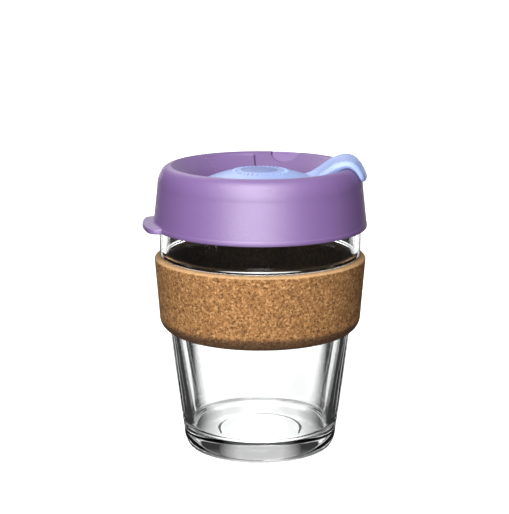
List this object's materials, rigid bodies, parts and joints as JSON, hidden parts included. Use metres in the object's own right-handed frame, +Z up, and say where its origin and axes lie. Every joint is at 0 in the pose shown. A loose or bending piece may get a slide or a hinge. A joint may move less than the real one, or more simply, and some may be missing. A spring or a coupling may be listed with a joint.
{
  "type": "reusable takeaway cup",
  "caption": "Clear glass takeaway cup with a cork heat band, a press-on plastic lid and a turning sip plug whose arm covers the drinking hole.",
  "frame": {"origin": "centre of the base, on the surface the cup stands on", "axes": "+Z up along the cup's axis; +X towards the sip hole and the plug's arm, away from the thumb tab"},
  "size_m": [0.0923, 0.0878, 0.1219],
  "materials": {
    "glass": "clear tempered glass, polished",
    "cork": "agglomerated cork, matt, dark granules",
    "lid_plastic": "soft satin, fine moulded grain",
    "plug_plastic": "soft satin elastomer"
  },
  "bodies": {
    "cup": {"glass_cup": "glass"},
    "band": {"cork_band": "cork"},
    "lid": {"lid_shell": "lid_plastic"},
    "plug": {"plug_disc": "plug_plastic"},
    "arm": {"plug_arm": "plug_plastic"}
  },
  "joints": [
    {"name": "band_slide", "type": "slide", "parent": "cup", "child": "band", "axis": [0, 0, -1], "range_m": [0, 0.049]},
    {"name": "lid_lift", "type": "slide", "parent": "cup", "child": "lid", "axis": [0, 0, 1], "range_m": [0, 0.08]},
    {"name": "plug_turn", "type": "hinge", "parent": "lid", "child": "plug", "pos_m": [0, 0, 0.1095], "axis": [0, 0, 1], "continuous": true},
    {"name": "arm_lift", "type": "hinge", "parent": "plug", "child": "arm", "pos_m": [0.01975, 0, 0.1138], "axis": [0, -1, 0], "range_deg": [0, 28]}
  ]
}
